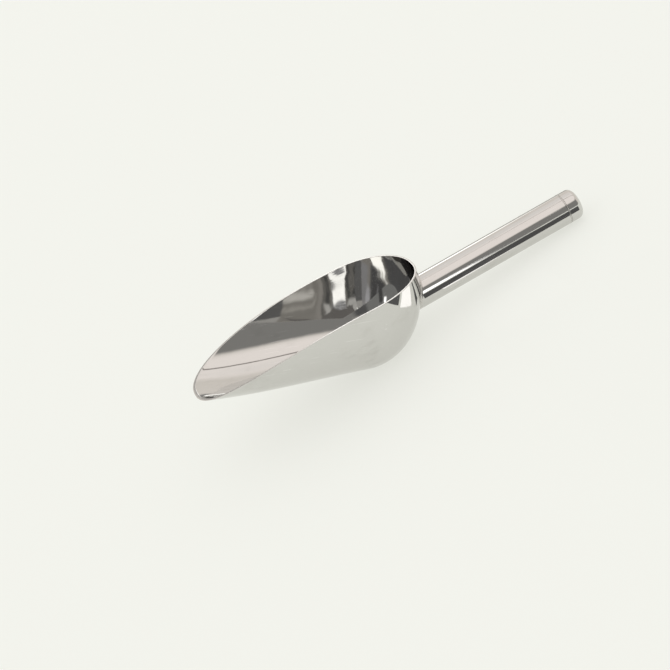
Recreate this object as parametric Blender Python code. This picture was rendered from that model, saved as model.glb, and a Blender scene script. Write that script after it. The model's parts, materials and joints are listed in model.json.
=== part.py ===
# Ice scoop in stainless steel: a drawn bowl and a welded tube handle.
#
# The bowl is shaped in its own frame: X runs along its straight bottom from the tip to the domed
# rear, Y is across, Z is up and Z = 0 is the bottom line. The handle is shaped along its own axis.
# Both hang on an empty that lays the finished scoop down as it lies on a table, on the underside of
# the dome and on the handle's end, with the origin under the middle of its box.

import math

import bmesh
import bpy
from mathutils import Vector

# Bowl, in metres
HALF_WIDTH = 0.030          # from the middle plane to the widest point outside
HALF_HEIGHT = 0.036         # from the bottom line to the level of greatest width
BODY_LENGTH = 0.084         # from the tip to where the dome begins
DOME_LENGTH = 0.032         # from there to the rearmost point
SECTION_POWER = 2.4         # 2 is an ellipse, more is squarer
TIP_NARROWING = 0.02        # share of the width that is lost towards the tip
BOTTOM_BOW = 0.0014         # how far the bottom line sags below straight
SHEET = 0.0010              # sheet thickness

# Trimmed edge: an arc in side view that starts at the tip
RIM_RADIUS = 0.357
RIM_RISE = math.radians(22.85)      # slope of the arc's chord
RIM_CHORD = 0.1275

# Handle
TUBE_RADIUS = 0.008
TUBE_WALL = 0.0010
HANDLE_LENGTH = 0.093       # along the axis, from below the dome's rearmost point to the end
HANDLE_HEIGHT = 0.032       # of the axis above the bottom line, at the dome's rearmost point
HANDLE_RISE = math.radians(21.2)
CAP_DEPTH = 0.0075          # of the end cap, along the handle
CAP_SHOULDER = 0.0030       # radius of the cap's rounded edge
CAP_WELD_WIDTH = 0.0008
BEAD_RADIUS = 0.0006        # of the weld bead round the tube's root

# Clearances
JOINT_GAP = 0.0003          # between two pieces that meet
TUBE_SINK = 0.010           # how far the uncut tube reaches into the dome
FRONT_EXCESS = 0.005        # of the untrimmed bowl ahead of the tip
CUT_EXCESS = 0.010          # of a cutter past what it cuts

# Fineness of the meshes
SECTION_SEGMENTS = 72
BODY_STEPS = 16
DOME_STEPS = 12
RIM_STEPS = 26
ROUND_SEGMENTS = 48
SHOULDER_STEPS = 6
SMOOTH_ANGLE = math.radians(30)
MERGE_DISTANCE = 0.000001


def clear_scene():
    for item in list(bpy.data.objects):
        bpy.data.objects.remove(item, do_unlink=True)


def metal(name, color, roughness):
    material = bpy.data.materials.new(name)
    material.use_nodes = True
    shader = material.node_tree.nodes["Principled BSDF"]
    shader.inputs["Base Color"].default_value = (*color, 1.0)
    shader.inputs["Metallic"].default_value = 1.0
    shader.inputs["Roughness"].default_value = roughness
    return material


def mesh_object(name, bm, parent, material=None):
    bmesh.ops.recalc_face_normals(bm, faces=bm.faces)
    mesh = bpy.data.meshes.new(name)
    bm.to_mesh(mesh)
    bm.free()
    mesh.shade_smooth()
    mesh.set_sharp_from_angle(angle=SMOOTH_ANGLE)
    item = bpy.data.objects.new(name, mesh)
    item.parent = parent
    bpy.context.scene.collection.objects.link(item)
    if material:
        mesh.materials.append(material)
    return item


def cutter_object(name, bm, parent):
    item = mesh_object(name, bm, parent)
    item.hide_render = True
    item.display_type = "WIRE"
    return item


def add_boolean(item, cutter, operation):
    cut = item.modifiers.new(cutter.name, "BOOLEAN")
    cut.operation = operation
    cut.solver = "EXACT"
    cut.object = cutter


# Bowl

def superellipse(angle, half_width, half_height):
    across, up = math.cos(angle), math.sin(angle)
    power = 2 / SECTION_POWER
    y = math.copysign(abs(across) ** power, across) * half_width
    z = math.copysign(abs(up) ** power, up) * half_height
    return y, z


def section_ring(x, scale, offset):
    """One section of the bowl's skin, grown outwards by offset."""
    part = min(x / BODY_LENGTH, 1)
    half_width = HALF_WIDTH * (1 - TIP_NARROWING * (1 - part) ** 2) + offset
    sag = BOTTOM_BOW * 27 / 4 * part * (1 - part) ** 2
    points = []
    for step in range(SECTION_SEGMENTS):
        angle = math.tau * step / SECTION_SEGMENTS
        depth = HALF_HEIGHT + offset + (sag if math.sin(angle) < 0 else 0)
        y, z = superellipse(angle, half_width * scale, depth * scale)
        points.append(Vector((x, y, HALF_HEIGHT + z)))
    return points


def closed_skin(offset, front):
    """A closed bullet: straight body from front to the dome, then the dome down to its pole."""
    rings = []
    for step in range(BODY_STEPS + 1):
        x = front + (BODY_LENGTH - front) * step / BODY_STEPS
        rings.append(section_ring(x, 1, offset))
    dome_length = DOME_LENGTH + offset
    for step in range(1, DOME_STEPS):
        turn = math.pi / 2 * step / DOME_STEPS
        x = BODY_LENGTH + dome_length * math.sin(turn)
        rings.append(section_ring(x, math.cos(turn), offset))

    bm = bmesh.new()
    last = None
    for points in rings:
        corners = [bm.verts.new(point) for point in points]
        ring = [bm.edges.new((a, b)) for a, b in zip(corners, corners[1:] + corners[:1])]
        if last:
            bmesh.ops.bridge_loops(bm, edges=last + ring)
        else:
            bm.faces.new(corners)
        last = ring
    pole = bmesh.ops.poke(bm, faces=[bm.faces.new(corners)])["verts"][0]
    pole.co.x = BODY_LENGTH + dome_length
    return bm


def rim_centre():
    half_chord = RIM_CHORD / 2
    drop = math.sqrt(RIM_RADIUS ** 2 - half_chord ** 2)
    x = half_chord * math.cos(RIM_RISE) + drop * math.sin(RIM_RISE)
    z = half_chord * math.sin(RIM_RISE) - drop * math.cos(RIM_RISE)
    return x, z


def below_the_rim():
    """The space under the trimmed edge, as a block with an arched top."""
    centre_x, centre_z = rim_centre()
    first_x = -FRONT_EXCESS - CUT_EXCESS
    last_x = BODY_LENGTH + DOME_LENGTH + CUT_EXCESS
    half_width = HALF_WIDTH + CUT_EXCESS
    outline = []
    for step in range(RIM_STEPS + 1):
        x = first_x + (last_x - first_x) * step / RIM_STEPS
        z = centre_z + math.sqrt(RIM_RADIUS ** 2 - (x - centre_x) ** 2)
        outline.append(Vector((x, -half_width, z)))
    floor_z = outline[0].z - CUT_EXCESS
    outline.append(Vector((last_x, -half_width, floor_z)))
    outline.append(Vector((first_x, -half_width, floor_z)))

    bm = bmesh.new()
    side = bm.faces.new([bm.verts.new(point) for point in outline])
    grown = bmesh.ops.extrude_face_region(bm, geom=[side])["geom"]
    moved = [item for item in grown if isinstance(item, bmesh.types.BMVert)]
    bmesh.ops.translate(bm, verts=moved, vec=(0, 2 * half_width, 0))
    return bm


def make_bowl(parent, material):
    bowl = mesh_object("bowl", closed_skin(0, -FRONT_EXCESS), parent, material)
    hollow = cutter_object("bowl_hollow", closed_skin(-SHEET, -FRONT_EXCESS - CUT_EXCESS), parent)
    trim = cutter_object("bowl_trim", below_the_rim(), parent)
    add_boolean(bowl, hollow, "DIFFERENCE")
    add_boolean(bowl, trim, "INTERSECT")


# Handle: every piece is turned about the local Z axis, which runs out along the handle

def handle_point(height, below=0.0):
    """A point of the bowl's middle plane: height along the handle's axis, below it."""
    x = BODY_LENGTH + DOME_LENGTH + height * math.cos(HANDLE_RISE) + below * math.sin(HANDLE_RISE)
    z = HANDLE_HEIGHT + height * math.sin(HANDLE_RISE) - below * math.cos(HANDLE_RISE)
    return Vector((x, 0, z))


def turned(outline):
    """A closed outline of (radius, height) points, turned once round the axis."""
    bm = bmesh.new()
    corners = [bm.verts.new((radius, 0, height)) for radius, height in outline]
    edges = [bm.edges.new((a, b)) for a, b in zip(corners, corners[1:] + corners[:1])]
    bmesh.ops.spin(
        bm,
        geom=corners + edges,
        cent=(0, 0, 0),
        axis=(0, 0, 1),
        angle=math.tau,
        steps=ROUND_SEGMENTS,
        use_merge=True,
    )
    bmesh.ops.remove_doubles(bm, verts=bm.verts, dist=MERGE_DISTANCE)
    bmesh.ops.dissolve_degenerate(bm, edges=bm.edges, dist=MERGE_DISTANCE)
    return bm


def ring_outline(low, high):
    inner = TUBE_RADIUS - TUBE_WALL
    return [(TUBE_RADIUS, low), (TUBE_RADIUS, high), (inner, high), (inner, low)]


def make_tube(handle, bowl_frame, material):
    outline = ring_outline(-TUBE_SINK, tube_end())
    tube = mesh_object("handle_tube", turned(outline), handle, material)
    seat = cutter_object("tube_seat", closed_skin(JOINT_GAP, -FRONT_EXCESS), bowl_frame)
    add_boolean(tube, seat, "DIFFERENCE")


def cap_start():
    return HANDLE_LENGTH - CAP_DEPTH


def tube_end():
    return cap_start() - CAP_WELD_WIDTH - 2 * JOINT_GAP


def make_cap_weld(handle, material):
    low = tube_end() + JOINT_GAP
    mesh_object("cap_weld", turned(ring_outline(low, low + CAP_WELD_WIDTH)), handle, material)


def shoulder(radius, level):
    """The rounded edge of the cap, from the flat end out to the skirt."""
    middle = TUBE_RADIUS - CAP_SHOULDER
    points = []
    for step in range(SHOULDER_STEPS + 1):
        turn = math.pi / 2 * step / SHOULDER_STEPS
        points.append((middle + radius * math.sin(turn), level + radius * math.cos(turn)))
    return points


def make_end_cap(handle, material):
    level = HANDLE_LENGTH - CAP_SHOULDER
    outer = shoulder(CAP_SHOULDER, level)
    inner = shoulder(CAP_SHOULDER - TUBE_WALL, level)
    outline = [(0, HANDLE_LENGTH), *outer, (TUBE_RADIUS, cap_start())]
    outline += [(TUBE_RADIUS - TUBE_WALL, cap_start()), *reversed(inner)]
    outline.append((0, HANDLE_LENGTH - TUBE_WALL))
    mesh_object("handle_end_cap", turned(outline), handle, material)


def inside_dome(point, offset):
    """Below 0 inside the dome grown by offset, above 0 outside."""
    across = abs(point.y) / (HALF_WIDTH + offset)
    up = abs(point.z - HALF_HEIGHT) / (HALF_HEIGHT + offset)
    along = (point.x - BODY_LENGTH) / (DOME_LENGTH + offset)
    section = (across ** SECTION_POWER + up ** SECTION_POWER) ** (2 / SECTION_POWER)
    return section + along ** 2 - 1


def root_point(angle):
    """Where the bead's centre line lies, at this angle round the handle."""
    away = JOINT_GAP + BEAD_RADIUS
    radius = TUBE_RADIUS + away
    side = Vector((0, radius * math.cos(angle), 0))
    below = -radius * math.sin(angle)
    low, high = -TUBE_SINK, TUBE_SINK
    for _ in range(40):
        middle = (low + high) / 2
        if inside_dome(handle_point(middle, below) + side, away) < 0:
            low = middle
        else:
            high = middle
    return handle_point(high, below) + side


def make_bowl_weld(bowl_frame, material):
    curve = bpy.data.curves.new("bowl_weld", "CURVE")
    curve.dimensions = "3D"
    curve.bevel_depth = BEAD_RADIUS
    curve.bevel_resolution = 2
    spline = curve.splines.new("POLY")
    spline.points.add(ROUND_SEGMENTS - 1)
    for step, point in enumerate(spline.points):
        point.co = (*root_point(math.tau * step / ROUND_SEGMENTS), 1)
    spline.use_cyclic_u = True
    curve.materials.append(material)
    bead = bpy.data.objects.new("bowl_weld", curve)
    bead.parent = bowl_frame
    bpy.context.scene.collection.objects.link(bead)


# Lying down

def dome_reach(tilt):
    """How far the dome reaches down when the scoop is tipped back by tilt."""
    down_x, down_z = math.sin(tilt), -math.cos(tilt)
    centre = BODY_LENGTH * down_x + HALF_HEIGHT * down_z
    return centre + math.hypot(DOME_LENGTH * down_x, HALF_HEIGHT * down_z)


def cap_reach(down_x, down_z):
    """How far the handle's end reaches in a direction of the middle plane."""
    level = HANDLE_LENGTH - CAP_SHOULDER
    middle = TUBE_RADIUS - CAP_SHOULDER
    reaches = []
    for below in (middle, -middle):
        point = handle_point(level, below)
        reaches.append(point.x * down_x + point.z * down_z + CAP_SHOULDER)
    return max(reaches)


def resting_tilt():
    """The tilt at which the dome and the handle's end touch the table together."""
    low, high = 0.0, math.radians(60)
    for _ in range(50):
        tilt = (low + high) / 2
        if cap_reach(math.sin(tilt), -math.cos(tilt)) < dome_reach(tilt):
            low = tilt
        else:
            high = tilt
    return high


def empty(name, parent=None):
    item = bpy.data.objects.new(name, None)
    item.parent = parent
    bpy.context.scene.collection.objects.link(item)
    return item


def main():
    clear_scene()
    tilt = resting_tilt()
    bowl_frame = empty("bowl_frame")
    bowl_frame.rotation_euler.y = tilt
    bowl_frame.location = (-cap_reach(math.cos(tilt), math.sin(tilt)) / 2, 0, dome_reach(tilt))
    handle = empty("handle_axis", bowl_frame)
    handle.location = handle_point(0)
    handle.rotation_euler.y = math.pi / 2 - HANDLE_RISE

    polished = metal("mirror polished steel", (0.80, 0.79, 0.77), 0.06)
    weld = metal("dressed weld", (0.72, 0.71, 0.69), 0.22)
    make_bowl(bowl_frame, polished)
    make_tube(handle, bowl_frame, polished)
    make_end_cap(handle, polished)
    make_cap_weld(handle, weld)
    make_bowl_weld(bowl_frame, weld)


main()
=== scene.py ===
# Ice scoop in polished steel: a pressed bowl with a ground rim, a welded tube handle, a plain studio.

import json
import math

import bpy
from mathutils import Matrix, Vector

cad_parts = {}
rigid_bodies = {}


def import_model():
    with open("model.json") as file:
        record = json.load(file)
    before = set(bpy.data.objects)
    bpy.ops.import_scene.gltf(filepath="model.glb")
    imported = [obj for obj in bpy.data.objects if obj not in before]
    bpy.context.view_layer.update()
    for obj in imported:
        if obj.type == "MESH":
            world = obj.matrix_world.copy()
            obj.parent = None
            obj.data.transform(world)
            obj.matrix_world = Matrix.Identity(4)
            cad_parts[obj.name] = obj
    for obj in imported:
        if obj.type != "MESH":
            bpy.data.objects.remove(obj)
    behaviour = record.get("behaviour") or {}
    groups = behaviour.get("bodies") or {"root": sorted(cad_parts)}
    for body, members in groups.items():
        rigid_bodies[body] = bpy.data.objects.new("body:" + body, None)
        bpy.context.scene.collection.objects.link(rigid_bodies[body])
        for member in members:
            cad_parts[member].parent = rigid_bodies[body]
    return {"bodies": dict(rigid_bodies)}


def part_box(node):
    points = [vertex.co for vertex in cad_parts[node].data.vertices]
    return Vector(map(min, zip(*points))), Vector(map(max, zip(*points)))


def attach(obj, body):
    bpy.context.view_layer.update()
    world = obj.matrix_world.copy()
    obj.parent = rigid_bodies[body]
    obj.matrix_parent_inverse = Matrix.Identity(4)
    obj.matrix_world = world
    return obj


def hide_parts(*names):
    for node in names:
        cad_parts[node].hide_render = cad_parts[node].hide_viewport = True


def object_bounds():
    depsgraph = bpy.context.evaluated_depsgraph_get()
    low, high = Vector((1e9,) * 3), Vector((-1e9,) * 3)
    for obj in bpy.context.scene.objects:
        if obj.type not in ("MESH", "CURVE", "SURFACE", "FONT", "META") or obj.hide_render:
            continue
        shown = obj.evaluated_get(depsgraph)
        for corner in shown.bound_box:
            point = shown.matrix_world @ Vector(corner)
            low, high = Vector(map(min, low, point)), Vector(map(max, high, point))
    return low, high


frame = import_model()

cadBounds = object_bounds()
bodyName = next(iter(frame["bodies"]))
print("frame loaded, riding on", bodyName)


# Shared helpers

mergeDistance = 0.000002
halvings = 46           # steps in a search for a crossing, far past what a vertex can hold


def deselectAll():
    if bpy.context.object and bpy.context.object.mode != "OBJECT":
        bpy.ops.object.mode_set(mode="OBJECT")
    bpy.ops.object.select_all(action="DESELECT")


def nameActive(name):
    item = bpy.context.active_object
    item.name = name
    item.data.name = name
    return item


def makeActive(item):
    deselectAll()
    item.select_set(True)
    bpy.context.view_layer.objects.active = item


def selectEdges(item, wanted):
    # leaves the piece in edit mode with just these edges selected
    makeActive(item)
    bpy.ops.object.mode_set(mode="EDIT")
    bpy.ops.mesh.select_mode(type="EDGE")
    bpy.ops.mesh.select_all(action="DESELECT")
    bpy.ops.object.mode_set(mode="OBJECT")
    for edge in item.data.edges:
        edge.select = wanted(edge)
    bpy.ops.object.mode_set(mode="EDIT")


def turnFaces(item, inward):
    makeActive(item)
    bpy.ops.object.mode_set(mode="EDIT")
    bpy.ops.mesh.select_all(action="SELECT")
    bpy.ops.mesh.normals_make_consistent(inside=inward)
    bpy.ops.object.mode_set(mode="OBJECT")


def crossing(low, high, isPast):
    # the place between low and high where isPast turns true
    for _ in range(halvings):
        middle = (low + high) / 2
        if isPast(middle):
            high = middle
        else:
            low = middle
    return high


def finishPiece(item, slot, *replaced):
    deselectAll()
    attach(item, bodyName)
    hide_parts(*replaced)


# The bowl's own frame: X along its straight bottom from the tip to the rear, Z up from the bottom line

bowlShape = {
    "halfWidth": 0.030,
    "halfHeight": 0.036,
    "bodyLength": 0.084,
    "domeLength": 0.032,
    "sectionPower": 2.4,
    "tipNarrowing": 0.02,
    "bottomBow": 0.0014,
    "sheet": 0.0010,
    "tilt": math.radians(27.024862437165158),   # at rest on the dome and the handle's end
    "columns": 256,
    "rings": 88,
    "domeStretch": 0.034,       # metres of skin for each radian of the dome
    "beforeTip": 0.02,          # the search for the rim starts this far before the tip
    "rimBevel": 0.00028,
    "bevelSegments": 4,
    "smoothAngle": math.radians(32),
}

rimArc = {
    "radius": 0.357,
    "rise": math.radians(22.85),
    "chord": 0.1275,
}


def rimCentre():
    halfChord = rimArc["chord"] / 2
    drop = math.sqrt(rimArc["radius"] ** 2 - halfChord ** 2)
    x = halfChord * math.cos(rimArc["rise"]) + drop * math.sin(rimArc["rise"])
    z = halfChord * math.sin(rimArc["rise"]) - drop * math.cos(rimArc["rise"])
    return x, z


def aboveRim(point):
    centreX, centreZ = rimCentre()
    reach = math.hypot(point.x - centreX, point.z - centreZ)
    return reach - rimArc["radius"]


def signedPower(value, power):
    return math.copysign(abs(value) ** power, value)


def skinPoint(angle, along, offset):
    # angle goes round the section, along runs from the tip to the pole of the dome
    shape = bowlShape
    turn = max(0.0, (along - shape["bodyLength"]) / shape["domeStretch"])
    scale = math.cos(turn)
    if turn > 0:
        x = shape["bodyLength"] + (shape["domeLength"] + offset) * math.sin(turn)
    else:
        x = along
    part = min(x / shape["bodyLength"], 1)
    halfWidth = shape["halfWidth"] * (1 - shape["tipNarrowing"] * (1 - part) ** 2) + offset
    sag = shape["bottomBow"] * 27 / 4 * part * (1 - part) ** 2
    depth = shape["halfHeight"] + offset + (sag if math.sin(angle) < 0 else 0)
    power = 2 / shape["sectionPower"]
    y = signedPower(math.cos(angle), power) * halfWidth * scale
    z = signedPower(math.sin(angle), power) * depth * scale
    return Vector((x, y, shape["halfHeight"] + z))


def lastAlong():
    return bowlShape["bodyLength"] + bowlShape["domeStretch"] * math.pi / 2


def rimAlong(angle, offset):
    # where the skin meets the arc of the rim
    return crossing(-bowlShape["beforeTip"], lastAlong(),
                    lambda along: aboveRim(skinPoint(angle, along, offset)) <= 0)


def domeReach(tilt):
    downX, downZ = math.sin(tilt), -math.cos(tilt)
    centre = bowlShape["bodyLength"] * downX + bowlShape["halfHeight"] * downZ
    return centre + math.hypot(bowlShape["domeLength"] * downX, bowlShape["halfHeight"] * downZ)


def bowlToWorld():
    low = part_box("bowl")[0]
    place = Vector((low[0], 0, cadBounds[0][2] + domeReach(bowlShape["tilt"])))
    return Matrix.Translation(place) @ Matrix.Rotation(bowlShape["tilt"], 4, "Y")


toWorld = bowlToWorld()


def makeSkin(name, offset):
    # a grid is laid over the skin, because a mirror finish shows every uneven face
    deselectAll()
    columns, rings = bowlShape["columns"], bowlShape["rings"]
    bpy.ops.mesh.primitive_grid_add(x_subdivisions=columns, y_subdivisions=rings, size=2)
    skin = nameActive(name)
    startAlong = {}
    for vertex in skin.data.vertices:
        column = round((vertex.co.x + 1) / 2 * columns)
        ring = round((vertex.co.y + 1) / 2 * rings)
        angle = math.tau * (column % columns) / columns + math.pi / 2
        if column % columns not in startAlong:
            startAlong[column % columns] = rimAlong(angle, offset)
        start = startAlong[column % columns]
        along = start + (lastAlong() - start) * ring / rings
        vertex.co = toWorld @ skinPoint(angle, along, offset)
    bpy.ops.object.mode_set(mode="EDIT")
    bpy.ops.mesh.select_all(action="SELECT")
    bpy.ops.mesh.remove_doubles(threshold=mergeDistance)
    bpy.ops.object.mode_set(mode="OBJECT")
    return skin


def makeBowl(skinMaterial, rimMaterial):
    outer = makeSkin("bowlShell", 0)
    inner = makeSkin("bowlLining", -bowlShape["sheet"])
    turnFaces(inner, True)
    turnFaces(outer, False)
    inner.select_set(True)
    bpy.ops.object.join()
    bowl = nameActive("bowlShell")
    bowl.data.materials.clear()
    bowl.data.materials.append(skinMaterial)
    bowl.data.materials.append(rimMaterial)

    # the ground edge closes the two skins, and its corners are broken by hand with a stone
    faceCount = len(bowl.data.polygons)
    makeActive(bowl)
    bpy.ops.object.mode_set(mode="EDIT")
    bpy.ops.mesh.select_mode(type="EDGE")
    bpy.ops.mesh.select_all(action="DESELECT")
    bpy.ops.mesh.select_non_manifold(extend=False, use_wire=False, use_boundary=True,
                                     use_multi_face=False, use_non_contiguous=False, use_verts=False)
    bpy.ops.mesh.bridge_edge_loops()
    bpy.ops.object.mode_set(mode="OBJECT")
    print("rim faces", len(bowl.data.polygons) - faceCount)
    for polygon in bowl.data.polygons:
        polygon.material_index = 1 if polygon.index >= faceCount else 0
    skinEdges, rimEdges = set(), set()
    for polygon in bowl.data.polygons:
        owner = rimEdges if polygon.material_index == 1 else skinEdges
        owner.update(polygon.edge_keys)
    shared = rimEdges & skinEdges
    selectEdges(bowl, lambda edge: edge.key in shared)
    bpy.ops.mesh.bevel(offset=bowlShape["rimBevel"], segments=bowlShape["bevelSegments"], profile=0.5,
                       affect="EDGES", material=1, clamp_overlap=True)
    turnFaces(bowl, False)
    bpy.ops.object.shade_smooth_by_angle(angle=bowlShape["smoothAngle"])
    finishPiece(bowl, "polished_steel", "bowl")


# Handle

handleShape = {
    "radius": 0.008,
    "length": 0.093,            # with its cap
    "height": 0.032,            # of its start on the dome, over the bowl's bottom line
    "rise": math.radians(21.2),
    "wall": 0.0010,
    "sides": 160,
    "rows": 10,
    "rootLift": 0.0006,         # the tube stands this far off the dome
    "rootSearch": 0.012,        # the dome is met this near the handle's start
    "smoothAngle": math.radians(40),
}


def capStart():
    return handleShape["length"] - endCapShape["depth"]


def handlePoint(height, below=0.0, across=0.0):
    shape = handleShape
    x = bowlShape["bodyLength"] + bowlShape["domeLength"]
    x += height * math.cos(shape["rise"]) + below * math.sin(shape["rise"])
    z = shape["height"] + height * math.sin(shape["rise"]) - below * math.cos(shape["rise"])
    return Vector((x, across, z))


def outsideDome(point):
    # below 0 inside the dome, above 0 outside it
    shape = bowlShape
    across = abs(point.y) / shape["halfWidth"]
    up = abs(point.z - shape["halfHeight"]) / shape["halfHeight"]
    along = (point.x - shape["bodyLength"]) / shape["domeLength"]
    section = across ** shape["sectionPower"] + up ** shape["sectionPower"]
    return section ** (2 / shape["sectionPower"]) + along ** 2 - 1


def domeHeight(angle, radius):
    # height along the handle's axis at which this line round it leaves the dome
    def isPast(height):
        point = handlePoint(height, -radius * math.sin(angle), radius * math.cos(angle))
        return outsideDome(point) >= 0
    return crossing(-handleShape["rootSearch"], handleShape["rootSearch"], isPast)


def turnedPiece(name, profile):
    # each row of the profile is a (radius, height) pair, or gives one for an angle round the axis
    deselectAll()
    sides, rows = handleShape["sides"], len(profile) - 1
    bpy.ops.mesh.primitive_grid_add(x_subdivisions=sides, y_subdivisions=rows, size=2)
    piece = nameActive(name)
    for vertex in piece.data.vertices:
        column = round((vertex.co.x + 1) / 2 * sides) % sides
        row = round((vertex.co.y + 1) / 2 * rows)
        angle = math.tau * column / sides
        radius, height = profile[row](angle) if callable(profile[row]) else profile[row]
        vertex.co = (radius * math.sin(angle), radius * math.cos(angle), height)
    bpy.ops.object.mode_set(mode="EDIT")
    bpy.ops.mesh.select_all(action="SELECT")
    bpy.ops.mesh.remove_doubles(threshold=mergeDistance)
    bpy.ops.mesh.delete_loose(use_verts=True, use_edges=True, use_faces=False)
    bpy.ops.object.mode_set(mode="OBJECT")
    return piece


def finishOnHandle(piece, material, smoothAngle, slot, node):
    for vertex in piece.data.vertices:
        angle = math.atan2(vertex.co.x, vertex.co.y)
        radius = math.hypot(vertex.co.x, vertex.co.y)
        point = handlePoint(vertex.co.z, -radius * math.sin(angle), radius * math.cos(angle))
        vertex.co = toWorld @ point
    # the placing mirrors the piece, so its faces are turned out only now
    turnFaces(piece, False)
    piece.data.materials.clear()
    piece.data.materials.append(material)
    bpy.ops.object.shade_smooth_by_angle(angle=smoothAngle)
    finishPiece(piece, slot, node)


def tubeRow(radius, end, share):
    # a ring of the tube, from its root on the dome at share 0 to its end at share 1
    def row(angle):
        start = domeHeight(angle, radius) + handleShape["rootLift"]
        return radius, start + (end - start) * share
    return row


def makeHandle(material):
    radius = handleShape["radius"]
    bore = radius - handleShape["wall"]
    seamStart = capStart() - capSeamShape["width"]
    rows = handleShape["rows"]
    profile = [tubeRow(radius, seamStart, step / rows) for step in range(rows + 1)]
    profile += [tubeRow(bore, seamStart, 1), tubeRow(bore, seamStart, 0), profile[0]]
    tube = turnedPiece("handleTube", profile)
    finishOnHandle(tube, material, handleShape["smoothAngle"], "polished_steel", "handle_tube")


def domeRow(radius, lift):
    # a ring that follows the dome at this height over it
    return lambda angle: (radius, domeHeight(angle, radius) + lift)


rootWeldShape = {
    "bead": 0.0015,             # radius of the hollow fillet round the root
    "rows": 10,
    "lift": 0.00003,            # how far the fillet stands off the dome
    "sunk": 0.0002,             # depth to which it goes into the tube's wall
    "smoothAngle": math.radians(60),
}


def makeRootWeld(material):
    radius, size, rows = handleShape["radius"], rootWeldShape["bead"], rootWeldShape["rows"]
    lift = rootWeldShape["lift"]
    profile = []
    for step in range(rows + 1):
        turn = math.pi / 2 * step / rows
        profile.append(domeRow(radius + size * (1 - math.sin(turn)), size * (1 - math.cos(turn)) + lift))
    back = radius - rootWeldShape["sunk"]
    profile += [domeRow(back, size), domeRow(back, lift), profile[0]]
    weld = turnedPiece("rootWeld", profile)
    finishOnHandle(weld, material, rootWeldShape["smoothAngle"], "weld", "bowl_weld")


capSeamShape = {
    "width": 0.0008,
    "crown": 0.00004,           # how proud of the tube the dressed seam stands
    "shoulder": 0.00002,
    "sunk": 0.0002,
    "smoothAngle": math.radians(60),
}


def makeCapWeld(material):
    radius, width = handleShape["radius"], capSeamShape["width"]
    sunk, bore = radius - capSeamShape["sunk"], radius - handleShape["wall"]
    profile = [
        (sunk, capStart() - width),
        (radius + capSeamShape["shoulder"], capStart() - width * 0.85),
        (radius + capSeamShape["crown"], capStart() - width * 0.5),
        (radius + capSeamShape["shoulder"], capStart() - width * 0.15),
        (sunk, capStart()),
        (bore, capStart()),
        (bore, capStart() - width),
    ]
    profile.append(profile[0])
    seam = turnedPiece("capSeam", profile)
    finishOnHandle(seam, material, capSeamShape["smoothAngle"], "weld", "cap_weld")


endCapShape = {
    "depth": 0.0075,
    "shoulder": 0.0030,
    "cornerRows": 12,
    "innerRows": 4,
    "smoothAngle": math.radians(40),
}


def makeEndCap(material):
    radius, wall, end = handleShape["radius"], handleShape["wall"], handleShape["length"]
    shoulder = endCapShape["shoulder"]
    level = end - shoulder
    profile = [(radius, capStart()), (radius, (capStart() + level) / 2)]
    for step in range(endCapShape["cornerRows"] + 1):
        turn = math.pi / 2 * step / endCapShape["cornerRows"]
        profile.append((radius - shoulder + shoulder * math.cos(turn), level + shoulder * math.sin(turn)))
    profile.append(((radius - shoulder) / 2, end))
    profile.append((0, end))
    # the inside of the cup
    profile.append((0, end - wall))
    inward = shoulder - wall
    for step in range(endCapShape["innerRows"] + 1):
        turn = math.pi / 2 * (1 - step / endCapShape["innerRows"])
        profile.append((radius - shoulder + inward * math.cos(turn), level + inward * math.sin(turn)))
    profile.append((radius - wall, capStart()))
    profile.append(profile[0])
    cap = turnedPiece("endCap", profile)
    finishOnHandle(cap, material, endCapShape["smoothAngle"], "polished_steel", "handle_end_cap")


# Materials

def newMaterial(name):
    material = bpy.data.materials.new(name)
    material.use_nodes = True
    shader = material.node_tree.nodes["Principled BSDF"]
    return material, material.node_tree, shader


def newGroup(name, inputs, outputs):
    group = bpy.data.node_groups.new(name, "ShaderNodeTree")
    for title, kind, value in inputs:
        socket = group.interface.new_socket(name=title, in_out="INPUT", socket_type=kind)
        if value is not None:
            socket.default_value = value
    for title, kind in outputs:
        group.interface.new_socket(name=title, in_out="OUTPUT", socket_type=kind)
    return group, group.nodes.new("NodeGroupInput"), group.nodes.new("NodeGroupOutput")


def setOrLink(tree, socket, value):
    # the value is a number or another node's output
    if isinstance(value, (int, float)):
        socket.default_value = value
    else:
        tree.links.new(value, socket)


def addMath(tree, operation, *values):
    node = tree.nodes.new("ShaderNodeMath")
    node.operation = operation
    for socket, value in zip(node.inputs, values):
        setOrLink(tree, socket, value)
    return node.outputs[0]


def softStep(tree, value, low, high):
    # 0 at low, 1 at high, low may be the larger
    node = tree.nodes.new("ShaderNodeMapRange")
    node.interpolation_type = "SMOOTHSTEP"
    setOrLink(tree, node.inputs["Value"], value)
    setOrLink(tree, node.inputs["From Min"], low)
    setOrLink(tree, node.inputs["From Max"], high)
    return node.outputs["Result"]


def addNoise(tree, vector, scale, detail=2.0, roughness=0.5, distortion=0.0):
    node = tree.nodes.new("ShaderNodeTexNoise")
    tree.links.new(vector, node.inputs["Vector"])
    setOrLink(tree, node.inputs["Scale"], scale)
    node.inputs["Detail"].default_value = detail
    node.inputs["Roughness"].default_value = roughness
    node.inputs["Distortion"].default_value = distortion
    return node.outputs["Fac"]


def stretched(tree, vector, scale, turn=(0, 0, 0)):
    node = tree.nodes.new("ShaderNodeMapping")
    tree.links.new(vector, node.inputs["Vector"])
    node.inputs["Scale"].default_value = scale
    node.inputs["Rotation"].default_value = [math.radians(angle) for angle in turn]
    return node.outputs["Vector"]


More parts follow.
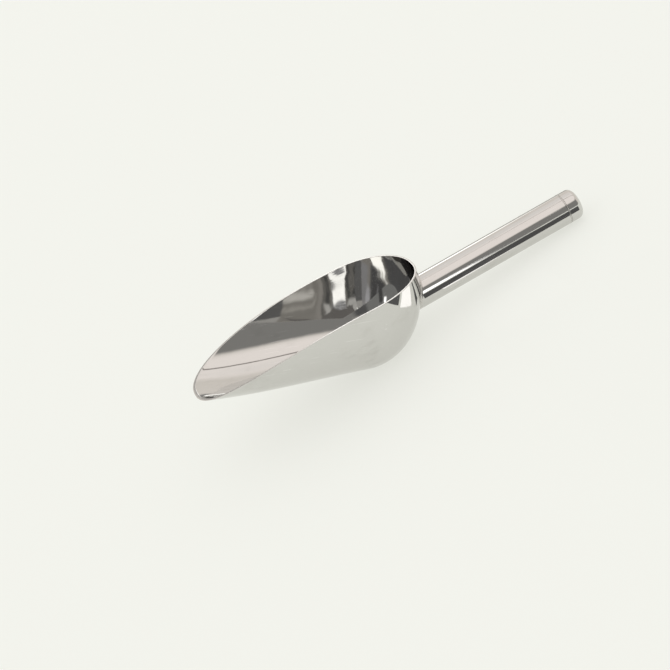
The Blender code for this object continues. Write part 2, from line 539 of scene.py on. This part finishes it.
def formingWavesGroup():
    # the slow hollows and swells that pressing leaves in sheet
    inputs = [
        ("Vector", "NodeSocketVector", None),
        ("Waves", "NodeSocketFloat", 26.0),
        ("Dimples", "NodeSocketFloat", 0.12),
    ]
    group, given, made = newGroup("formingWaves", inputs, [("Height", "NodeSocketFloat")])
    slow = addNoise(group, given.outputs["Vector"], given.outputs["Waves"], 1.0, 0.4)
    finer = addMath(group, "MULTIPLY", given.outputs["Waves"], 7.0)
    fine = addNoise(group, given.outputs["Vector"], finer, 1.5, 0.45)
    fine = addMath(group, "MULTIPLY", fine, given.outputs["Dimples"])
    group.links.new(addMath(group, "ADD", slow, fine), made.inputs["Height"])
    return group


def polishLinesGroup():
    # the very fine parallel lines of a buffing wheel, running along X
    inputs = [("Vector", "NodeSocketVector", None), ("Fineness", "NodeSocketFloat", 1.0)]
    outputs = [("Lines", "NodeSocketFloat"), ("Streaks", "NodeSocketFloat")]
    group, given, made = newGroup("polishLines", inputs, outputs)
    lines = stretched(group, given.outputs["Vector"], (45, 5200, 5200))
    streaks = stretched(group, given.outputs["Vector"], (14, 420, 420))
    group.links.new(addNoise(group, lines, given.outputs["Fineness"], 3.0, 0.6), made.inputs["Lines"])
    group.links.new(addNoise(group, streaks, given.outputs["Fineness"], 2.0, 0.55), made.inputs["Streaks"])
    return group


def hairScratchesGroup():
    # sparse hair scratches of use, in three directions
    inputs = [("Vector", "NodeSocketVector", None), ("Amount", "NodeSocketFloat", 0.5)]
    group, given, made = newGroup("hairScratches", inputs, [("Mask", "NodeSocketFloat")])
    edge = addMath(group, "SUBTRACT", 0.80, addMath(group, "MULTIPLY", given.outputs["Amount"], 0.12))
    total = None
    for turn, scale in (
        ((8, 24, 31), (60, 2600, 1900)),
        ((-14, -9, 74), (75, 3100, 2300)),
        ((33, 12, -38), (50, 2200, 2600)),
    ):
        vector = stretched(group, given.outputs["Vector"], scale, turn)
        fac = addNoise(group, vector, 1.0, 1.0, 0.4)
        mask = softStep(group, fac, edge, addMath(group, "ADD", edge, 0.035))
        total = mask if total is None else addMath(group, "MAXIMUM", total, mask)
    group.links.new(total, made.inputs["Mask"])
    return group


def handlingFilmGroup():
    # the thin uneven film that fingers and a wiping cloth leave
    inputs = [("Vector", "NodeSocketVector", None), ("Size", "NodeSocketFloat", 60.0)]
    group, given, made = newGroup("handlingFilm", inputs, [("Mask", "NodeSocketFloat")])
    broad = addNoise(group, given.outputs["Vector"], given.outputs["Size"], 3.0, 0.55, 0.6)
    broad = softStep(group, broad, 0.45, 0.72)
    wiped = stretched(group, given.outputs["Vector"], (90, 500, 240), (12, 20, 35))
    wiped = softStep(group, addNoise(group, wiped, 1.0, 3.0, 0.6), 0.35, 0.75)
    group.links.new(addMath(group, "MULTIPLY", broad, wiped), made.inputs["Mask"])
    return group


formingWaves = formingWavesGroup()
polishLines = polishLinesGroup()
hairScratches = hairScratchesGroup()
handlingFilm = handlingFilmGroup()


def placeGroup(tree, group, vector, **values):
    node = tree.nodes.new("ShaderNodeGroup")
    node.node_tree = group
    tree.links.new(vector, node.inputs["Vector"])
    for title, value in values.items():
        node.inputs[title].default_value = value
    return node


def mixColors(tree, factor, first, second):
    mix = tree.nodes.new("ShaderNodeMix")
    mix.data_type = "RGBA"
    tree.links.new(factor, mix.inputs["Factor"])
    for title, value in (("A", first), ("B", second)):
        if isinstance(value, tuple):
            mix.inputs[title].default_value = (*value, 1)
        else:
            tree.links.new(value, mix.inputs[title])
    return mix.outputs["Result"]


def addBump(tree, height, distance, below=None):
    bump = tree.nodes.new("ShaderNodeBump")
    bump.inputs["Distance"].default_value = distance
    bump.inputs["Strength"].default_value = 1.0
    tree.links.new(height, bump.inputs["Height"])
    if below is not None:
        tree.links.new(below, bump.inputs["Normal"])
    return bump.outputs["Normal"]


# depths are in metres, turn lines up the polishing with the piece, in degrees
steelFinishes = {
    "mirrorSteel": {
        "clean": (0.655, 0.648, 0.628),
        "filmed": (0.600, 0.590, 0.568),
        "scratched": (0.74, 0.735, 0.72),
        "roughness": 0.035,
        "filmRoughness": 0.055,
        "lineRoughness": 0.030,
        "scratchRoughness": 0.16,
        "scratches": 0.5,
        "waves": 24.0,
        "waveDepth": 0.00014,
        "dimples": 0.10,
        "lineDepth": 0.0000006,
        "turn": (0, -27.02, 0),
    },
    "mirrorTube": {
        "clean": (0.66, 0.652, 0.632),
        "filmed": (0.590, 0.578, 0.552),
        "scratched": (0.74, 0.735, 0.72),
        "roughness": 0.045,
        "filmRoughness": 0.09,
        "lineRoughness": 0.045,
        "scratchRoughness": 0.20,
        "scratches": 0.6,
        "waves": 40.0,
        "waveDepth": 0.00005,
        "dimples": 0.10,
        "lineDepth": 0.0000010,
        "turn": (0, -5.83, 0),
    },
    "groundRim": {
        "clean": (0.70, 0.69, 0.67),
        "filmed": (0.60, 0.59, 0.57),
        "scratched": (0.78, 0.775, 0.76),
        "roughness": 0.13,
        "filmRoughness": 0.10,
        "lineRoughness": 0.12,
        "scratchRoughness": 0.28,
        "scratches": 0.9,
        "waves": 90.0,
        "waveDepth": 0.00003,
        "dimples": 0.3,
        "lineDepth": 0.0000030,
        "turn": (0, -27.02, 0),
    },
    "dressedWeld": {
        "clean": (0.62, 0.605, 0.58),
        "filmed": (0.50, 0.485, 0.455),
        "scratched": (0.72, 0.71, 0.69),
        "roughness": 0.16,
        "filmRoughness": 0.16,
        "lineRoughness": 0.14,
        "scratchRoughness": 0.30,
        "scratches": 0.9,
        "waves": 160.0,
        "waveDepth": 0.000022,
        "dimples": 0.3,
        "lineDepth": 0.0000020,
        "turn": (0, -5.83, 90),
    },
}


def steelMaterial(name):
    finish = steelFinishes[name]
    material, tree, shader = newMaterial(name)
    place = tree.nodes.new("ShaderNodeTexCoord")
    lined = stretched(tree, place.outputs["Object"], (1, 1, 1), finish["turn"])
    waves = placeGroup(tree, formingWaves, place.outputs["Object"],
                       Waves=finish["waves"], Dimples=finish["dimples"])
    lines = placeGroup(tree, polishLines, lined)
    scratches = placeGroup(tree, hairScratches, lined, Amount=finish["scratches"])
    film = placeGroup(tree, handlingFilm, place.outputs["Object"])

    color = mixColors(tree, film.outputs["Mask"], finish["clean"], finish["filmed"])
    color = mixColors(tree, scratches.outputs["Mask"], color, finish["scratched"])
    tree.links.new(color, shader.inputs["Base Color"])

    streaked = addMath(tree, "MULTIPLY", lines.outputs["Streaks"], finish["lineRoughness"])
    filmed = addMath(tree, "MULTIPLY", film.outputs["Mask"], finish["filmRoughness"])
    scratched = addMath(tree, "MULTIPLY", scratches.outputs["Mask"], finish["scratchRoughness"])
    rough = addMath(tree, "ADD", addMath(tree, "ADD", streaked, filmed), finish["roughness"])
    tree.links.new(addMath(tree, "ADD", rough, scratched), shader.inputs["Roughness"])

    normal = addBump(tree, waves.outputs["Height"], finish["waveDepth"])
    normal = addBump(tree, lines.outputs["Lines"], finish["lineDepth"], normal)
    tree.links.new(normal, shader.inputs["Normal"])
    shader.inputs["Metallic"].default_value = 1
    return material


mirrorSteel = steelMaterial("mirrorSteel")
mirrorTube = steelMaterial("mirrorTube")
groundRim = steelMaterial("groundRim")
dressedWeld = steelMaterial("dressedWeld")
print("materials done")
makeBowl(mirrorSteel, groundRim)
print("bowl done")
makeHandle(mirrorTube)
makeRootWeld(dressedWeld)
makeCapWeld(dressedWeld)
makeEndCap(mirrorTube)
print("handle done")


# Studio

studio = {
    "floorSize": 6.0,
    "floorGap": 0.0002,
    "paleness": (0.32, 0.322, 0.303),
    "grain": 900.0,
    "grainShade": 0.985,
    "glow": (0.583, 0.586, 0.548),
    "skyLight": (0.98, 0.98, 0.98),
    "backdrop": (0.897, 0.899, 0.846),
}


def makeFloor():
    deselectAll()
    bpy.ops.mesh.primitive_plane_add(size=studio["floorSize"],
                                     location=(0, 0, cadBounds[0][2] - studio["floorGap"]))
    floor = nameActive("floor")
    material, tree, shader = newMaterial("paleFloor")
    place = tree.nodes.new("ShaderNodeTexCoord")
    grain = addNoise(tree, place.outputs["Object"], studio["grain"], 2.0)
    pale = studio["paleness"]
    tint = tuple(value * studio["grainShade"] for value in pale)
    tree.links.new(mixColors(tree, grain, tint, pale), shader.inputs["Base Color"])
    shader.inputs["Roughness"].default_value = 0.9
    shader.inputs["Specular IOR Level"].default_value = 0.1
    # part of the floor's light is its own, so that shadows on it stay light
    shader.inputs["Emission Color"].default_value = (*studio["glow"], 1)
    shader.inputs["Emission Strength"].default_value = 1.0
    floor.data.materials.append(material)


# Cards near the scoop, seen only in the steel: firstReflection is 0 where any reflection shows the
# card, and 2 where only second and later ones do. Corners are over the lowest point of the scoop.
nearCards = {
    "handleFlag": {
        "corners": (
            (0.014, -0.0135, 0.0116), (0.105, -0.0135, 0.0024),
            (0.105, -0.0135, 0.0088), (0.014, -0.0135, 0.0180),
        ),
        "light": (0.10, 0.10, 0.10),
        "firstReflection": 0,
    },
    "rootFlag": {
        "corners": (
            (0.026, -0.049, 0.0001), (0.110, -0.060, 0.0001),
            (0.110, -0.200, 0.0001), (0.026, -0.200, 0.0001),
        ),
        "light": (0.12, 0.12, 0.12),
        "firstReflection": 0,
    },
    "rootGlint": {
        "corners": (
            (0.026, -0.020, 0.0001), (0.070, -0.020, 0.0001),
            (0.070, -0.047, 0.0001), (0.024, -0.044, 0.0001),
        ),
        "light": (1.5, 1.48, 1.45),
        "firstReflection": 0,
    },
    "bowlWindow": {
        "corners": (
            (-0.048, 0.049, 0.107), (-0.029, 0.063, 0.093),
            (-0.031, 0.076, 0.080), (-0.048, 0.063, 0.093),
        ),
        "light": (2.3, 2.3, 2.3),
        "firstReflection": 2,
    },
    "bowlShade": {
        "corners": (
            (-0.0255, -0.0028, 0.034), (-0.043, 0.0094, 0.034),
            (-0.043, 0.0139, 0.0565), (-0.0255, -0.0011, 0.0425),
        ),
        "light": (0.20, 0.20, 0.205),
        "firstReflection": 2,
    },
    "bowlHaze": {
        "corners": (
            (-0.0255, -0.0011, 0.0425), (-0.043, 0.0139, 0.0565),
            (-0.043, 0.0158, 0.066), (-0.0255, 0.0028, 0.062),
        ),
        "light": (0.60, 0.59, 0.58),
        "firstReflection": 2,
    },
    "floorShade": {
        "corners": (
            (-0.0165, 0.016, 0.046), (-0.0165, -0.012, 0.046),
            (-0.0035, -0.012, 0.046), (-0.0035, 0.010, 0.046),
        ),
        "light": (0.24, 0.23, 0.225),
        "firstReflection": 2,
    },
}


def makeNearCards():
    for name, values in nearCards.items():
        deselectAll()
        bpy.ops.mesh.primitive_circle_add(vertices=4, radius=0.1, fill_type="NGON")
        card = nameActive(name)
        for vertex, corner in zip(card.data.vertices, values["corners"]):
            vertex.co = Vector(corner) + Vector((0, 0, cadBounds[0][2]))
        material = bpy.data.materials.new(name)
        material.use_nodes = True
        tree = material.node_tree
        tree.nodes.clear()
        output = tree.nodes.new("ShaderNodeOutputMaterial")
        glow = tree.nodes.new("ShaderNodeEmission")
        glow.inputs["Color"].default_value = (*values["light"], 1)
        clear = tree.nodes.new("ShaderNodeBsdfTransparent")
        path = tree.nodes.new("ShaderNodeLightPath")
        shown = addMath(tree, "GREATER_THAN", path.outputs["Glossy Depth"], values["firstReflection"] - 0.5)
        mix = tree.nodes.new("ShaderNodeMixShader")
        tree.links.new(shown, mix.inputs["Fac"])
        tree.links.new(clear.outputs["BSDF"], mix.inputs[1])
        tree.links.new(glow.outputs["Emission"], mix.inputs[2])
        tree.links.new(mix.outputs["Shader"], output.inputs["Surface"])
        card.data.materials.append(material)
        card.visible_camera = False
        card.visible_diffuse = False
        card.visible_shadow = False


cardTitles = ("Card Bearing", "Card Height", "Half Width", "Half Height", "Side Softness", "End Softness")


def cardMaskGroup():
    # how much of a soft-edged card is seen in a direction, given in degrees
    inputs = [(title, "NodeSocketFloat", 0.0) for title in ("Bearing", "Height", *cardTitles)]
    group, given, made = newGroup("cardMask", inputs, [("Mask", "NodeSocketFloat")])
    sides = []
    for place, card, half, soft in (
        ("Bearing", "Card Bearing", "Half Width", "Side Softness"),
        ("Height", "Card Height", "Half Height", "End Softness"),
    ):
        away = addMath(group, "SUBTRACT", given.outputs[place], given.outputs[card])
        away = addMath(group, "WRAP", away, 180.0, -180.0)
        away = addMath(group, "ABSOLUTE", away)
        outer = addMath(group, "ADD", given.outputs[half], given.outputs[soft])
        inner = addMath(group, "SUBTRACT", given.outputs[half], given.outputs[soft])
        sides.append(softStep(group, away, outer, inner))
    group.links.new(addMath(group, "MULTIPLY", *sides), made.inputs["Mask"])
    return group


# Cards of the room in a first reflection. Bearing is 0 towards -Y and 90 towards +X, all angles are in
# degrees, light is the card's radiance, and a later card lies over the earlier ones.
roomCards = {
    "base": (0.86, 0.81, 0.755),
    "cards": [
        # bearing, height, half width, half height, side softness, end softness, light
        (350, 8, 65, 29, 12, 4, (0.27, 0.265, 0.255)),
        (342, 30, 22, 14, 8, 4, (0.11, 0.11, 0.11)),
        (68, 90, 70, 50.5, 24, 5.5, (1.10, 1.03, 0.99)),
        (200, 90, 90, 42, 30, 6, (0.95, 0.91, 0.88)),
        (320, 90, 60, 42, 20, 5, (1.10, 1.03, 0.99)),
        (86, 70, 2.6, 26, 1.4, 3, (0.36, 0.33, 0.31)),
        (9.4, 6, 3.0, 8.5, 1.0, 2, (2.2, 2.2, 2.2)),
        (180, 3, 24, 7, 5, 3, (0.30, 0.295, 0.285)),
        (168, 25, 6, 7, 3, 3, (2.2, 2.2, 2.18)),
        (186, 27, 6, 8, 3, 3, (0.40, 0.39, 0.38)),
        (285, 12, 50, 32, 5, 5, (0.22, 0.22, 0.215)),
        (292, 29, 2.5, 4, 1.5, 1.5, (2.2, 2.2, 2.2)),
        (302, 22, 4, 10, 2, 2, (0.07, 0.07, 0.07)),
    ],
}

# the room as second and later reflections show it, in the same order of values
deepCards = {
    "base": (0.37, 0.355, 0.335),
    "cards": [
        (85, 62, 55, 26, 12, 6, (1.15, 1.10, 1.07)),
        (166, 20, 4, 30, 3, 5, (0.46, 0.44, 0.42)),
        (151.5, 21, 1.6, 2.6, 0.7, 1.0, (0.95, 0.93, 0.90)),
        (157, 16, 1.0, 7, 0.6, 2.0, (0.60, 0.58, 0.55)),
        (172, 26, 1.6, 20, 1.0, 3.0, (0.22, 0.215, 0.21)),
        (180, 30, 5, 40, 3, 5, (0.12, 0.12, 0.12)),
        (235, 20, 24, 36, 4, 4, (0.12, 0.12, 0.125)),
        (197, 36, 8, 12, 4, 3, (0.40, 0.40, 0.42)),
        (207, 32, 4, 8, 2, 3, (0.65, 0.65, 0.70)),
        (194, 21, 20, 3.5, 3, 2, (0.75, 0.74, 0.73)),
        (227, 30, 1.6, 14, 1.2, 4, (0.34, 0.34, 0.36)),
        (262, 78, 42, 20, 2, 2, (2.3, 2.3, 2.25)),
        (297, 30, 14, 24, 3, 4, (0.13, 0.13, 0.135)),
        (309, 32, 1.2, 12, 0.9, 3, (0.6, 0.6, 0.6)),
    ],
    "drift": 5.0,           # degrees by which the edges wander
    "driftScale": 7.0,
    "driftShift": 7.3,      # sets the wander in height apart from the wander in bearing
    "deeperShare": 0.30,    # of the light left after a third reflection
}


def layCards(tree, cardMask, room, bearing, height):
    color = tree.nodes.new("ShaderNodeRGB").outputs[0]
    color.default_value = (*room["base"], 1)
    for values in room["cards"]:
        mask = tree.nodes.new("ShaderNodeGroup")
        mask.node_tree = cardMask
        tree.links.new(bearing, mask.inputs["Bearing"])
        tree.links.new(height, mask.inputs["Height"])
        for title, value in zip(cardTitles, values):
            mask.inputs[title].default_value = value
        mix = tree.nodes.new("ShaderNodeMix")
        mix.data_type = "RGBA"
        tree.links.new(mask.outputs["Mask"], mix.inputs["Factor"])
        tree.links.new(color, mix.inputs["A"])
        mix.inputs["B"].default_value = (*values[-1], 1)
        color = mix.outputs["Result"]
    return color


def makeWorld():
    world = bpy.data.worlds.new("studioWorld")
    bpy.context.scene.world = world
    world.use_nodes = True
    tree = world.node_tree
    background = tree.nodes["Background"]
    place = tree.nodes.new("ShaderNodeTexCoord")
    split = tree.nodes.new("ShaderNodeSeparateXYZ")
    tree.links.new(place.outputs["Generated"], split.inputs["Vector"])
    back = addMath(tree, "MULTIPLY", split.outputs["Y"], -1.0)
    bearing = addMath(tree, "DEGREES", addMath(tree, "ARCTAN2", split.outputs["X"], back))
    height = addMath(tree, "DEGREES", addMath(tree, "ARCSINE", split.outputs["Z"]))
    cardMask = cardMaskGroup()
    roomColor = layCards(tree, cardMask, roomCards, bearing, height)
    # the deep reflections show a busy room, so the edges of its cards wander
    wander = []
    for angle, shift in ((bearing, 0.0), (height, deepCards["driftShift"])):
        moved = tree.nodes.new("ShaderNodeVectorMath")
        moved.operation = "ADD"
        tree.links.new(place.outputs["Generated"], moved.inputs[0])
        moved.inputs[1].default_value = (shift, shift, shift)
        drift = addNoise(tree, moved.outputs["Vector"], deepCards["driftScale"], 3.0, 0.6)
        drift = addMath(tree, "SUBTRACT", drift, 0.5)
        drift = addMath(tree, "MULTIPLY", drift, 2 * deepCards["drift"])
        wander.append(addMath(tree, "ADD", angle, drift))
    deepColor = layCards(tree, cardMask, deepCards, *wander)
    path = tree.nodes.new("ShaderNodeLightPath")
    deep = addMath(tree, "GREATER_THAN", path.outputs["Glossy Depth"], 1.5)
    deeper = addMath(tree, "GREATER_THAN", path.outputs["Glossy Depth"], 2.5)
    dimmed = addMath(tree, "MULTIPLY", deeper, 1 - deepCards["deeperShare"])
    deepColor = mixColors(tree, dimmed, deepColor, (0.0, 0.0, 0.0))
    seen = mixColors(tree, deep, roomColor, deepColor)
    color = mixColors(tree, path.outputs["Is Diffuse Ray"], seen, studio["skyLight"])
    color = mixColors(tree, path.outputs["Is Camera Ray"], color, studio["backdrop"])
    tree.links.new(color, background.inputs["Color"])
    background.inputs["Strength"].default_value = 1


view = {
    "place": (-0.05794, -0.56334, 0.32400),
    "turn": (57.39868, 29.34313, -19.93311),     # degrees
    "sensorWidth": 36,
    "lens": 69.85,
    "nearest": 0.01,
}


def makeCamera():
    data = bpy.data.cameras.new("camera")
    camera = bpy.data.objects.new("camera", data)
    bpy.context.scene.collection.objects.link(camera)
    camera.location = view["place"]
    camera.rotation_euler = [math.radians(angle) for angle in view["turn"]]
    data.sensor_width = view["sensorWidth"]
    data.lens = view["lens"]
    data.clip_start = view["nearest"]
    bpy.context.scene.camera = camera


makeFloor()
makeNearCards()
makeWorld()
makeCamera()
bpy.context.scene.view_settings.view_transform = "Standard"
print("studio done")
